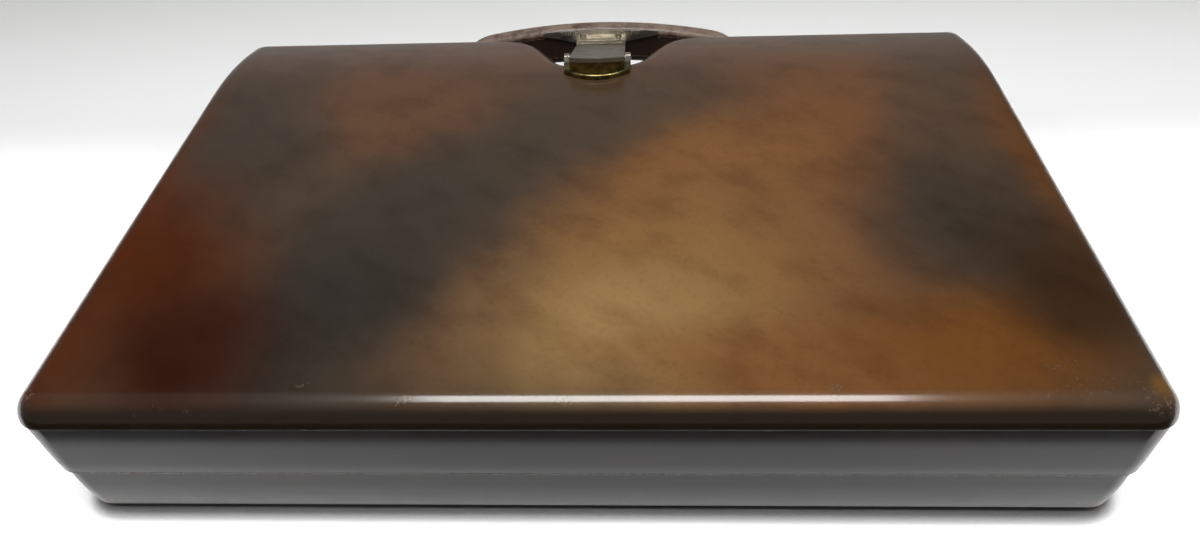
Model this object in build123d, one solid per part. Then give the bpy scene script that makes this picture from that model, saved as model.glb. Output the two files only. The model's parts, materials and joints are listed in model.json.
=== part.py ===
from build123d import *

import math
import os

# Leather-covered clamshell briefcase, lying on its back as it lies on a table.
# Units are millimetres. +X runs along the width, +Y towards the hand-hold and
# the latch, +Z upwards. The origin is the centre of the face it rests on.

# Outside of the case
case_width = 420.0
case_depth = 280.0
base_height = 30.0
lid_height = 40.0
corner_radius = 12.0
least_corner_radius = 2.0

# Shape of the lid's face, which bends down towards the hand-hold
lid_edge_radius = 11.5
lid_panel_depth = 9.0
lid_drop = 11.0
lid_drop_run = 66.0

# The base stands back a little under the lid all round
base_step = 2.0
base_edge_radius = 5.0

# Hand-hold: a bay with an S-shaped flank each side, cut through both shells
notch_half_mouth = 61.0
notch_mouth_radius = 33.0
notch_flank_angle = 63.0
notch_depth = 43.0
notch_foot_radius = 12.0

# Layers of a wall, from the outside in
face_leather = 2.0
wall_leather = 1.6
wall_set_back = 0.5
wood_wall = 7.0
board_thickness = 4.0
lining_thickness = 0.8
rim_leather = 1.0
rim_gap = 0.3
face_edge_gap = 0.5
turn_under = 14.0
bottom_joint = 0.3
bottom_proud = 0.4

# Leather hinge along the near side
hinge_strip_thickness = 1.0
hinge_strip_height = 20.0
hinge_strip_end = 28.0

# Handle: a bowed strap on edge, riveted to the far wall of the base
handle_rise = 5.0
handle_bow_radius = 328.0
handle_shoulder_radius = 26.0
handle_half_width = 87.0
handle_crown = 22.0
handle_leg = 18.0
handle_foot_z = 5.6
handle_thickness = 10.0
handle_gap = 0.8
handle_edge_radius = 3.0
handle_inner_radius = 9.0
handle_core_margin = 4.5
handle_core_thickness = 2.5

# Riveted feet of the handle
foot_plate_height = 20.0
foot_plate_lift = 1.0
foot_plate_margin = 1.0
foot_rivet_radius = 2.0
foot_rivet_head_radius = 4.5
foot_rivet_head = 1.8
foot_rivet_pitch = 10.0
backing_plate_thickness = 1.0

# Strike plate on the middle of the handle, with a bead along its upper edge
strike_thickness = 1.0
strike_half_width = 34.0
strike_tip_height = 2.0
strike_top_drop = 0.3
strike_bead_half_width = 24.0
strike_bead_height = 2.4
strike_bead_reach = 0.8
strike_lip_reach = 2.4
strike_lip_thickness = 1.2
strike_lip_drop = 7.0
strike_rivet_radius = 1.2
strike_rivet_head_radius = 1.9
strike_rivet_head = 0.7
strike_rivet_spacing = 21.0
strike_rivet_rise = 2.4

# Latch on the lid: brass body, pivoting tongue, pin and leaf spring
tongue_half_width = 14.5
tongue_thickness = 2.4
tongue_reach = 62.5
tongue_nose_rise = 11.3
tongue_nose_radius = 27.0
tongue_lip_overlap = 2.0
tongue_lip_clearance = 0.3
tongue_tip_length = 2.2
pin_setback = 46.5
pin_radius = 1.3
pin_clearance = 0.05
knuckle_radius = 2.0
latch_half_width = 17.5
latch_front_radius = 26.0
latch_front_reach = 65.5
latch_flange = 2.8
latch_flange_edge = 1.0
latch_groove = 3.0
latch_back_setback = 50.2
latch_fit = 0.4
ear_thickness = 3.0
ear_radius = 3.0
ear_root_setback = 52.5
pin_end = 0.6
spring_half_width = 5.0
spring_thickness = 0.4
spring_root_rise = 0.5
spring_end_setback = 34.0
spring_clearance = 0.2
latch_screw_radius = 1.5
latch_screw_head_radius = 3.0
latch_screw_head = 1.4
latch_screw_half_spacing = 8.0
latch_screw_setback = 58.0
latch_screw_depth = 2.4
latch_plate_thickness = 1.2
latch_plate_margin = 4.5

# Document pocket inside the lid
pocket_gusset_height = 6.5
pocket_gusset_width = 7.0
pocket_panel_thickness = 1.2
pocket_length = 182.0
pocket_side_clearance = 1.0
pocket_binding_width = 6.0
pocket_binding_thickness = 0.8
pocket_rivet_radius = 1.2
pocket_rivet_head_radius = 3.0
pocket_rivet_head = 0.9
pocket_rivet_setback = 14.0

# Sizes that follow from the ones above
case_height = base_height + lid_height
far_edge = case_depth / 2
near_edge = -case_depth / 2
bend_start = far_edge - lid_drop_run
bend_radius = (lid_drop_run ** 2 + lid_drop ** 2) / (2 * lid_drop)
beyond = 10.0

lid_rim_z = base_height + rim_gap / 2
base_rim_z = base_height - rim_gap / 2

lid_wood_inset = wall_set_back + wall_leather
lid_inner_inset = lid_wood_inset + wood_wall
lid_room_inset = lid_inner_inset + lining_thickness
board_under = face_leather + board_thickness

# The rounded edge is cut off before it stands upright, so it starts this far out
edge_rise = lid_edge_radius - lid_panel_depth
edge_start = lid_edge_radius - math.sqrt(lid_edge_radius ** 2 - edge_rise ** 2)

base_wood_inset = base_step + wall_leather
base_inner_inset = base_wood_inset + wood_wall
base_room_inset = base_inner_inset + lining_thickness
board_low_z = bottom_proud + wall_leather
base_floor_z = board_low_z + board_thickness
foot_plate_z = base_floor_z + foot_plate_lift


def surface_height(y, offset=0.0):
    """Height of the lid's face at y, or of the face laid offset below it."""
    level = case_height - offset
    if y <= bend_start:
        return level
    radius = bend_radius - offset
    return level - radius + math.sqrt(radius ** 2 - (y - bend_start) ** 2)


def arc_about(centre, radius, start_angle, end_angle):
    """An arc about a centre, between two angles in degrees."""
    points = []
    for angle in (start_angle, (start_angle + end_angle) / 2, end_angle):
        turn = math.radians(angle)
        points.append((centre[0] + radius * math.cos(turn), centre[1] + radius * math.sin(turn)))
    return Edge.make_three_point_arc(*[Vector(x, y) for x, y in points])


def closed_face(arcs):
    """A face from arcs in order, with straight lines drawn between them."""
    edges = []
    for index, arc in enumerate(arcs):
        following = arcs[(index + 1) % len(arcs)]
        edges.append(arc)
        if (following @ 0 - arc @ 1).length > 1e-6:
            edges.append(Edge.make_line(arc @ 1, following @ 0))
    return Face(Wire(edges))


def polygon(points):
    """A face from corner points in order."""
    corners = [Vector(*point) for point in points]
    return Face(Wire.make_polygon(corners, close=True))


def plan_face(inset):
    """Plan of the case drawn inset from its outside, with the hand-hold bay."""
    half_x = case_width / 2 - inset
    half_y = case_depth / 2 - inset
    corner = max(corner_radius - inset, least_corner_radius)
    flank = math.radians(notch_flank_angle)
    mouth_centre = (notch_half_mouth, far_edge - notch_mouth_radius)
    foot_centre_y = far_edge - notch_depth + notch_foot_radius
    fall = mouth_centre[1] + notch_mouth_radius * math.cos(flank)
    fall = fall - foot_centre_y + notch_foot_radius * math.cos(flank)
    both_radii = notch_mouth_radius + notch_foot_radius
    foot_centre_x = notch_half_mouth - both_radii * math.sin(flank) - fall / math.tan(flank)
    mouth = notch_mouth_radius - inset
    foot = notch_foot_radius + inset
    corner_x = half_x - corner
    corner_y = half_y - corner
    lean = notch_flank_angle
    arcs = [
        arc_about((corner_x, -corner_y), corner, -90, 0),
        arc_about((corner_x, corner_y), corner, 0, 90),
        arc_about(mouth_centre, mouth, 90, 90 + lean),
        arc_about((foot_centre_x, foot_centre_y), foot, lean - 90, -90),
        arc_about((-foot_centre_x, foot_centre_y), foot, 270, 270 - lean),
        arc_about((-mouth_centre[0], mouth_centre[1]), mouth, 90 - lean, 90),
        arc_about((-corner_x, corner_y), corner, 90, 180),
        arc_about((-corner_x, -corner_y), corner, 180, 270),
    ]
    return closed_face(arcs)


def prism(face, low, high):
    """A face in plan, raised between two heights."""
    return Pos(0, 0, low) * extrude(face, high - low, dir=(0, 0, 1))


def ring(outer_inset, inner_inset, low, high):
    """A wall that follows the plan, between two insets and two heights."""
    outer = prism(plan_face(outer_inset), low, high)
    return outer - prism(plan_face(inner_inset), low - 1, high + 1)


def side_prism(face, half_width):
    """A face drawn in (y, z), widened to both sides along X."""
    return extrude(Plane.YZ * face, half_width, both=True)


def under_face(top_offset, low_z=None, low_offset=None):
    """The space under the lid's bent face, down to a height or a second bent face."""
    start = near_edge - beyond
    end = far_edge + beyond

    def bend(offset):
        radius = bend_radius - offset
        turn = math.degrees(math.acos((end - bend_start) / radius))
        centre = (bend_start, case_height - bend_radius)
        return arc_about(centre, radius, turn, 90)

    upper = bend(top_offset)
    corner = Vector(start, case_height - top_offset)
    edges = [upper, Edge.make_line(upper @ 1, corner)]
    if low_offset is None:
        low_start = Vector(start, low_z)
        low_end = Vector(end, low_z)
        edges.append(Edge.make_line(corner, low_start))
        edges.append(Edge.make_line(low_start, low_end))
        edges.append(Edge.make_line(low_end, upper @ 0))
    else:
        lower = bend(low_offset)
        low_start = Vector(start, case_height - low_offset)
        edges.append(Edge.make_line(corner, low_start))
        edges.append(Edge.make_line(low_start, lower @ 1))
        edges.append(lower)
        edges.append(Edge.make_line(lower @ 0, upper @ 0))
    return side_prism(Face(Wire(edges)), case_width / 2 + beyond)


def lid_layer(inset, top_offset, low_z=None, low_offset=None):
    """The plan cut to the space under the lid's bent face."""
    block = prism(plan_face(inset), 0, case_height + beyond)
    return block & under_face(top_offset, low_z, low_offset)


def face_edges(solid, offset):
    """Edges that run round the rim of the lid's bent face."""
    found = []
    for edge in solid.edges():
        points = [edge @ 0, edge @ 0.5, edge @ 1]
        on_face = all(abs(p.Z - surface_height(p.Y, offset)) < 0.02 for p in points)
        on_bend = all(abs(p.Y - bend_start) < 0.02 for p in points)
        if on_face and not on_bend:
            found.append(edge)
    return found


def rounded_panel(inset, low_offset):
    """The lid's top panel with its rounded rim, inset and lowered alike."""
    block = lid_layer(inset - edge_start, inset, low_offset=low_offset + lid_edge_radius)
    block = fillet(face_edges(block, inset), lid_edge_radius - inset)
    return block & under_face(-beyond, low_offset=low_offset)


def rounded_tray(inset, low, high):
    """The base's outside with its rounded lower edge, inset from the base."""
    block = prism(plan_face(base_step + inset), low, high)
    rim = block.edges().group_by(Axis.Z)[0]
    return fillet(rim, base_edge_radius - inset)


def cylinder_y(radius, x, z, start, end):
    """A round bar along Y."""
    bar = Cylinder(radius, end - start, align=(Align.CENTER, Align.CENTER, Align.MIN))
    return Pos(x, start, z) * Rot(-90, 0, 0) * bar


def cylinder_x(radius, y, z, half_length):
    """A round bar along X, centred on the case."""
    return Pos(0, y, z) * Rot(0, 90, 0) * Cylinder(radius, 2 * half_length)


def domed_head(radius, height):
    """A low rounded rivet head, flat side down on z = 0."""
    sphere_radius = (radius ** 2 + height ** 2) / (2 * height)
    ball = Pos(0, 0, height - sphere_radius) * Sphere(sphere_radius)
    keep = Cylinder(radius, height, align=(Align.CENTER, Align.CENTER, Align.MIN))
    return ball & keep


def box_between(low, high):
    """A box from its lowest to its highest corner."""
    size = [b - a for a, b in zip(low, high)]
    return Pos(*low) * Box(*size, align=(Align.MIN, Align.MIN, Align.MIN))


def group(solids):
    """Several separate solids kept in one node."""
    return Compound(children=list(solids))


# Hinge strips, let into the near walls right behind the wall leather
def hinge_strip(wood_inset, low, high):
    half_length = case_width / 2 - hinge_strip_end
    outer = near_edge + wood_inset
    return box_between((-half_length, outer, low), (half_length, outer + hinge_strip_thickness, high))


def base_hinge_strip():
    return hinge_strip(base_wood_inset, base_rim_z - hinge_strip_height, base_rim_z)


def lid_hinge_strip():
    return hinge_strip(lid_wood_inset, lid_rim_z, lid_rim_z + hinge_strip_height)


# Handle outline in (x, z), inset evenly from its outside
handle_top_z = case_height - lid_drop + handle_rise
handle_front = far_edge + handle_gap
handle_middle = handle_front + handle_thickness / 2
handle_back = handle_front + handle_thickness
bow_centre_z = handle_top_z - handle_bow_radius
shoulder_x = handle_half_width - handle_shoulder_radius
shoulder_span = handle_bow_radius - handle_shoulder_radius
shoulder_z = bow_centre_z + math.sqrt(shoulder_span ** 2 - shoulder_x ** 2)
shoulder_angle = math.degrees(math.acos(shoulder_x / shoulder_span))
leg_inner_x = handle_half_width - handle_leg
inner_bow_radius = handle_bow_radius - handle_crown
armpit_span = inner_bow_radius - handle_inner_radius
armpit_x = leg_inner_x - handle_inner_radius
armpit_z = bow_centre_z + math.sqrt(armpit_span ** 2 - armpit_x ** 2)
armpit_angle = math.degrees(math.acos(armpit_x / armpit_span))


def handle_face(inset):
    """Outline of the bowed handle: crown, shoulders and two legs."""
    bow = (0.0, bow_centre_z)
    outer = handle_bow_radius - inset
    inner = inner_bow_radius + inset
    shoulder = handle_shoulder_radius - inset
    armpit = handle_inner_radius + inset
    foot_z = handle_foot_z + inset
    arcs = [
        arc_about((shoulder_x, shoulder_z), shoulder, 0, shoulder_angle),
        arc_about(bow, outer, shoulder_angle, 180 - shoulder_angle),
        arc_about((-shoulder_x, shoulder_z), shoulder, 180 - shoulder_angle, 180),
    ]
    left_outer = Vector(-handle_half_width + inset, foot_z)
    left_inner = Vector(-leg_inner_x - inset, foot_z)
    right_inner = Vector(leg_inner_x + inset, foot_z)
    right_outer = Vector(handle_half_width - inset, foot_z)
    under = [
        arc_about((-armpit_x, armpit_z), armpit, 180, 180 - armpit_angle),
        arc_about(bow, inner, 180 - armpit_angle, armpit_angle),
        arc_about((armpit_x, armpit_z), armpit, armpit_angle, 0),
    ]
    edges = list(arcs)
    edges.append(Edge.make_line(arcs[-1] @ 1, left_outer))
    edges.append(Edge.make_line(left_outer, left_inner))
    edges.append(Edge.make_line(left_inner, under[0] @ 0))
    edges.extend(under)
    edges.append(Edge.make_line(under[-1] @ 1, right_inner))
    edges.append(Edge.make_line(right_inner, right_outer))
    edges.append(Edge.make_line(right_outer, arcs[0] @ 0))
    return Face(Wire(edges))


def front_prism(face, start, end):
    """A face drawn in (x, z), given depth along Y."""
    upright = Plane.XZ * face
    return Pos(0, start, 0) * extrude(upright, end - start, dir=(0, 1, 0))


def handle_core_solid():
    half = handle_core_thickness / 2
    return front_prism(handle_face(handle_core_margin), handle_middle - half, handle_middle + half)


def foot_rivet_places():
    """Centres (x, z) of the rivets in the two handle feet."""
    x = handle_half_width - handle_leg / 2
    middle = foot_plate_z + foot_plate_height / 2
    places = []
    for side in (-1, 1):
        for step in (-0.5, 0.5):
            places.append((side * x, middle + step * foot_rivet_pitch))
    return places


def foot_rivet_holes():
    inside = far_edge - base_inner_inset - beyond
    return [
        cylinder_y(foot_rivet_radius, x, z, inside, handle_back + beyond)
        for x, z in foot_rivet_places()
    ]


def strike_rivet_places():
    """Centres (x, z) of the two rivets in the strike plate."""
    half = strike_rivet_spacing / 2
    z = strike_lip_z + strike_lip_thickness + strike_rivet_rise
    return [(-half, z), (half, z)]


def strike_rivet_holes():
    return [
        cylinder_y(strike_rivet_radius, x, z, far_edge - beyond, handle_back + beyond)
        for x, z in strike_rivet_places()
    ]


def handle_half(start, end, outside):
    """One of the two leathers of the handle, with its outer edges rounded."""
    leather = front_prism(handle_face(0), start, end)
    rim = leather.edges().filter_by(lambda e: abs((e @ 0.5).Y - outside) < 0.01)
    leather = fillet(rim, handle_edge_radius)
    for tool in [handle_core_solid()] + foot_rivet_holes() + strike_rivet_holes():
        leather = leather - tool
    return leather


def handle_core():
    core = handle_core_solid()
    for tool in foot_rivet_holes() + strike_rivet_holes():
        core = core - tool
    return core


def foot_plate_boxes(start, end):
    """The outline of a foot plate at both feet, between two depths."""
    plates = []
    inner = leg_inner_x + foot_plate_margin
    outer = handle_half_width - foot_plate_margin
    top = foot_plate_z + foot_plate_height
    for side in (-1, 1):
        low_x, high_x = sorted((side * inner, side * outer))
        plates.append(box_between((low_x, start, foot_plate_z), (high_x, end, top)))
    return plates


def handle_foot_plates():
    plates = []
    for plate in foot_plate_boxes(far_edge - base_step, handle_front):
        for tool in foot_rivet_holes():
            plate = plate - tool
        plates.append(plate)
    return group(plates)


def handle_backing_boxes():
    inner = far_edge - base_inner_inset
    return foot_plate_boxes(inner, inner + backing_plate_thickness)


def handle_backing_plates():
    plates = []
    for plate in handle_backing_boxes():
        for tool in foot_rivet_holes():
            plate = plate - tool
        plates.append(plate)
    return group(plates)


def handle_rivets():
    rivets = []
    inner = far_edge - base_inner_inset
    for x, z in foot_rivet_places():
        shank = cylinder_y(foot_rivet_radius, x, z, inner, handle_back)
        head = Pos(x, handle_back, z) * Rot(-90, 0, 0) * domed_head(foot_rivet_head_radius, foot_rivet_head)
        rivets.append(shank + head)
    return group(rivets)


# Strike plate: stands on the handle's front, with a lip that the tongue hooks under
strike_lip_z = handle_top_z - strike_lip_drop - strike_lip_thickness
strike_front = handle_front - strike_thickness


def strike_plate():
    bow = (0.0, bow_centre_z)
    outer = handle_bow_radius - strike_top_drop
    reach = math.degrees(math.asin(strike_half_width / outer))
    over = arc_about(bow, outer, 90 - reach, 90 + reach)
    tip_z = (over @ 0).Z
    tip_low = (over @ 0).Y + tip_z - strike_tip_height
    half = tongue_half_width
    edges = [over]
    corners = [
        over @ 1,
        Vector(-strike_half_width, tip_low),
        Vector(-half, strike_lip_z),
        Vector(half, strike_lip_z),
        Vector(strike_half_width, tip_low),
        over @ 0,
    ]
    for a, b in zip(corners, corners[1:]):
        edges.append(Edge.make_line(a, b))
    plate = front_prism(Face(Wire(edges)), strike_front, handle_front)
    bead_reach = math.degrees(math.asin(strike_bead_half_width / outer))
    bead_top = arc_about(bow, outer, 90 - bead_reach, 90 + bead_reach)
    bead_under = arc_about(bow, outer - strike_bead_height, 90 + bead_reach, 90 - bead_reach)
    bead = front_prism(closed_face([bead_top, bead_under]), strike_front - strike_bead_reach, handle_front)
    plate = plate + bead
    lip = box_between(
        (-half, strike_front - strike_lip_reach, strike_lip_z),
        (half, handle_front, strike_lip_z + strike_lip_thickness),
    )
    plate = plate + lip
    for tool in strike_rivet_holes():
        plate = plate - tool
    return plate


def strike_rivets():
    rivets = []
    for x, z in strike_rivet_places():
        shank = cylinder_y(strike_rivet_radius, x, z, strike_front, handle_back)
        dome = domed_head(strike_rivet_head_radius, strike_rivet_head)
        front = Pos(x, strike_front, z) * Rot(90, 0, 0) * dome
        back = Pos(x, handle_back, z) * Rot(-90, 0, 0) * dome
        rivets.append(shank + front + back)
    return group(rivets)


# Tongue profile in (y, z): a straight plate from the nose down to its tip under the lip
nose_y = far_edge - tongue_reach
nose_z = case_height + tongue_nose_rise
tip_end_y = strike_front - strike_lip_reach + tongue_lip_overlap
tip_start_y = tip_end_y - tongue_tip_length
tip_z = strike_lip_z - tongue_lip_clearance
tongue_slope = (nose_z - tip_z) / (tip_start_y - nose_y)
tongue_angle = math.atan(tongue_slope)
tongue_drop = tongue_thickness / math.cos(tongue_angle)
pin_y = far_edge - pin_setback


def tongue_top(y):
    """Height of the tongue's upper face."""
    return nose_z - tongue_slope * (y - nose_y)


def tongue_under(y):
    """Height of the tongue's lower face."""
    return tongue_top(y) - tongue_drop


pin_z = tongue_under(pin_y)


def tongue_nose_cut():
    """What lies ahead of the tongue's arched nose."""
    disc = Cylinder(tongue_nose_radius, 4 * case_height)
    front = box_between(
        (-latch_half_width - beyond, nose_y - beyond, 0),
        (latch_half_width + beyond, nose_y + tongue_nose_radius, 2 * case_height),
    )
    return front - Pos(0, nose_y + tongue_nose_radius, 0) * disc


def latch_tongue():
    back_y = tip_start_y - tongue_thickness * math.tan(tongue_angle / 2)
    profile = polygon([
        (nose_y, tongue_top(nose_y)),
        (tip_start_y, tip_z),
        (tip_end_y, tip_z),
        (tip_end_y, tip_z - tongue_thickness),
        (back_y, tip_z - tongue_thickness),
        (nose_y, tongue_under(nose_y)),
    ])
    tongue = side_prism(profile, tongue_half_width) - tongue_nose_cut()
    tongue = tongue + cylinder_x(knuckle_radius, pin_y, pin_z, tongue_half_width)
    return tongue - cylinder_x(pin_radius + pin_clearance, pin_y, pin_z, case_width)


def latch_plan(inset):
    """Plan of the latch body: straight back and sides, arched front."""
    half = latch_half_width - inset
    radius = latch_front_radius - inset
    centre_y = far_edge - latch_front_reach + latch_front_radius
    turn = math.degrees(math.asin(half / radius))
    front = arc_about((0.0, centre_y), radius, 270 - turn, 270 + turn)
    back_y = far_edge - latch_back_setback
    edges = [
        front,
        Edge.make_line(front @ 1, Vector(half, back_y)),
        Edge.make_line(Vector(half, back_y), Vector(-half, back_y)),
        Edge.make_line(Vector(-half, back_y), front @ 0),
    ]
    return Face(Wire(edges))


def latch_screw_places():
    """Centres (x, y) of the screws that hold the latch to the lid."""
    y = far_edge - latch_screw_setback
    return [(-latch_screw_half_spacing, y), (latch_screw_half_spacing, y)]


latch_screw_low = surface_height(far_edge - latch_screw_setback, board_under) - latch_plate_thickness
latch_screw_high = case_height + latch_screw_depth


def latch_screw_holes():
    length = latch_screw_high - latch_screw_low
    bar = Cylinder(latch_screw_radius, length, align=(Align.CENTER, Align.CENTER, Align.MIN))
    return [Pos(x, y, latch_screw_low) * bar for x, y in latch_screw_places()]


def latch_body():
    low = case_height - lid_panel_depth
    flange_top = case_height + latch_flange
    flange = prism(latch_plan(0), low, flange_top)
    rim = flange.edges().group_by(Axis.Z)[-1]
    body = fillet(rim, latch_flange_edge)
    body = body + prism(latch_plan(latch_groove), low, nose_z)
    above = polygon([
        (nose_y - beyond, tongue_under(nose_y - beyond) - latch_fit),
        (far_edge, tongue_under(far_edge) - latch_fit),
        (far_edge, 2 * case_height),
        (nose_y - beyond, 2 * case_height),
    ])
    body = body - side_prism(above, case_width)
    ear_low = tongue_half_width + latch_fit
    ear_back = far_edge - ear_root_setback
    ear_face = polygon([
        (ear_back, low),
        (pin_y, low),
        (pin_y, pin_z + ear_radius),
        (ear_back, case_height + latch_flange),
    ])
    for side in (-1, 1):
        middle = side * (ear_low + ear_thickness / 2)
        web = Pos(middle, 0, 0) * side_prism(ear_face, ear_thickness / 2)
        boss = Pos(middle, pin_y, pin_z) * Rot(0, 90, 0) * Cylinder(ear_radius, ear_thickness)
        body = body + web + boss
    body = body - rounded_panel(0, lid_panel_depth + beyond)
    body = body - cylinder_x(pin_radius, pin_y, pin_z, case_width)
    for tool in latch_screw_holes():
        body = body - tool
    return body


def latch_pin():
    half = tongue_half_width + latch_fit + ear_thickness
    pin = cylinder_x(pin_radius, pin_y, pin_z, half)
    dome = domed_head(pin_radius, pin_end)
    for side in (-1, 1):
        pin = pin + Pos(side * half, pin_y, pin_z) * Rot(0, side * 90, 0) * dome
    return pin


def latch_spring():
    """A leaf fixed to the back of the body that passes under the knuckle to the tongue."""
    root_y = far_edge - latch_back_setback
    root_z = pin_z + spring_root_rise
    clear = knuckle_radius + spring_clearance
    diagonal = clear / math.sqrt(2)
    end_y = far_edge - spring_end_setback
    end_z = tongue_under(end_y) - spring_clearance
    route = [
        (root_y, root_z),
        (pin_y - diagonal, pin_z - diagonal),
        (pin_y, pin_z - clear),
        (end_y, end_z),
    ]
    below = [(y, z - spring_thickness) for y, z in reversed(route)]
    return side_prism(polygon(route + below), spring_half_width)


def latch_screws():
    screws = []
    head = Cylinder(
        latch_screw_head_radius, latch_screw_head, align=(Align.CENTER, Align.CENTER, Align.MAX)
    )
    for (x, y), shank in zip(latch_screw_places(), latch_screw_holes()):
        screws.append(shank + Pos(x, y, latch_screw_low) * head)
    return group(screws)


def latch_plate_block():
    """Space of the steel plate inside the lid, up against its board."""
    half_x = latch_screw_half_spacing + latch_plate_margin
    y = far_edge - latch_screw_setback
    return box_between(
        (-half_x, y - latch_plate_margin, latch_screw_low),
        (half_x, y + latch_plate_margin, case_height),
    )


def latch_backing_plate():
    plate = latch_plate_block() & lid_layer(0, board_under, low_z=base_height)
    for tool in latch_screw_holes():
        plate = plate - tool
    return plate


# Base shell
def base_frame():
    frame = ring(base_wood_inset, base_inner_inset, base_floor_z, base_rim_z - rim_leather)
    frame = frame - base_hinge_strip()
    for tool in foot_rivet_holes() + handle_backing_boxes():
        frame = frame - tool
    return frame


def base_board():
    return rounded_tray(wall_leather, board_low_z, base_floor_z)


def base_wall_leather():
    top = base_rim_z - rim_leather
    leather = rounded_tray(0, bottom_proud, top)
    leather = leather - rounded_tray(wall_leather, board_low_z, top + 1)
    leather = leather - prism(plan_face(base_step + turn_under), -1, base_floor_z)
    for tool in foot_rivet_holes():
        leather = leather - tool
    return leather


def base_bottom_leather():
    return prism(plan_face(base_step + turn_under + bottom_joint), 0, board_low_z)


def base_rim_leather():
    rim = ring(base_step, base_room_inset, base_rim_z - rim_leather, base_rim_z)
    return rim - base_hinge_strip()


def base_wall_lining():
    low = base_floor_z + lining_thickness
    return ring(base_inner_inset, base_room_inset, low, base_rim_z - rim_leather)


def base_floor_lining():
    return prism(plan_face(base_inner_inset), base_floor_z, base_floor_z + lining_thickness)


# Lid shell
def lid_frame():
    space = under_face(board_under, low_z=lid_rim_z + rim_leather)
    frame = ring(lid_wood_inset, lid_inner_inset, base_height, case_height) & space
    frame = frame & rounded_panel(face_leather, case_height)
    return frame - lid_hinge_strip()


def lid_board():
    board = rounded_panel(face_leather, board_under)
    for tool in latch_screw_holes():
        board = board - tool
    return board


def lid_face_leather():
    leather = rounded_panel(0, lid_panel_depth)
    leather = leather - rounded_panel(face_leather, lid_panel_depth + beyond)
    for tool in latch_screw_holes():
        leather = leather - tool
    return leather


def lid_wall_leather():
    space = under_face(lid_panel_depth + face_edge_gap, low_z=lid_rim_z + rim_leather)
    return ring(wall_set_back, lid_wood_inset, base_height, case_height) & space


def lid_rim_leather():
    rim = ring(wall_set_back, lid_room_inset, lid_rim_z, lid_rim_z + rim_leather)
    return rim - lid_hinge_strip()


def lid_wall_lining():
    space = under_face(board_under + lining_thickness, low_z=lid_rim_z + rim_leather)
    return ring(lid_inner_inset, lid_room_inset, base_height, case_height) & space


def lid_roof_lining():
    lining = lid_layer(lid_inner_inset, board_under, low_offset=board_under + lining_thickness)
    return lining - latch_plate_block()


# Document pocket in the lid
pocket_roof_z = case_height - board_under - lining_thickness
pocket_top_z = pocket_roof_z - pocket_gusset_height
pocket_low_z = pocket_top_z - pocket_panel_thickness
pocket_half_width = case_width / 2 - lid_room_inset - pocket_side_clearance
pocket_near_y = near_edge + lid_room_inset + pocket_side_clearance
pocket_mouth_y = pocket_near_y + pocket_length


def pocket_outline(margin, mouth_y):
    """Plan of the pocket, its two near corners rounded."""
    half = pocket_half_width - margin
    near = pocket_near_y + margin
    corner = corner_radius
    arcs = [
        arc_about((half - corner, near + corner), corner, -90, 0),
        Edge.make_line(Vector(half, mouth_y), Vector(-half, mouth_y)),
        arc_about((-half + corner, near + corner), corner, 180, 270),
    ]
    return closed_face(arcs)


def pocket_rivet_places():
    """Centres (x, y) of the rivets at both ends of the pocket's mouth."""
    x = pocket_half_width - pocket_gusset_width / 2
    return [
        (side * x, pocket_mouth_y - step * pocket_rivet_setback)
        for side in (-1, 1)
        for step in (1, 2)
    ]


def pocket_rivet_holes():
    length = pocket_gusset_height + pocket_panel_thickness
    bar = Cylinder(pocket_rivet_radius, length, align=(Align.CENTER, Align.CENTER, Align.MIN))
    return [Pos(x, y, pocket_low_z) * bar for x, y in pocket_rivet_places()]


def pocket_gusset():
    gusset = prism(pocket_outline(0, pocket_mouth_y), pocket_top_z, pocket_roof_z)
    inside = pocket_outline(pocket_gusset_width, pocket_mouth_y + beyond)
    gusset = gusset - prism(inside, pocket_top_z - 1, pocket_roof_z + 1)
    for tool in pocket_rivet_holes():
        gusset = gusset - tool
    return gusset


def pocket_panel():
    panel = prism(pocket_outline(0, pocket_mouth_y), pocket_low_z, pocket_top_z)
    for tool in pocket_rivet_holes():
        panel = panel - tool
    return panel


def pocket_binding():
    """A folded strip over the free edge of the pocket's panel."""
    half = pocket_half_width - pocket_gusset_width
    thick = pocket_binding_thickness
    start = pocket_mouth_y - pocket_binding_width
    strip = box_between(
        (-half, start, pocket_low_z - thick),
        (half, pocket_mouth_y + thick, pocket_top_z + thick),
    )
    slot = box_between(
        (-half, start - 1, pocket_low_z),
        (half, pocket_mouth_y, pocket_top_z),
    )
    return strip - slot


def pocket_rivets():
    rivets = []
    dome = domed_head(pocket_rivet_head_radius, pocket_rivet_head)
    for (x, y), shank in zip(pocket_rivet_places(), pocket_rivet_holes()):
        rivets.append(shank + Pos(x, y, pocket_low_z) * Rot(180, 0, 0) * dome)
    return group(rivets)


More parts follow.
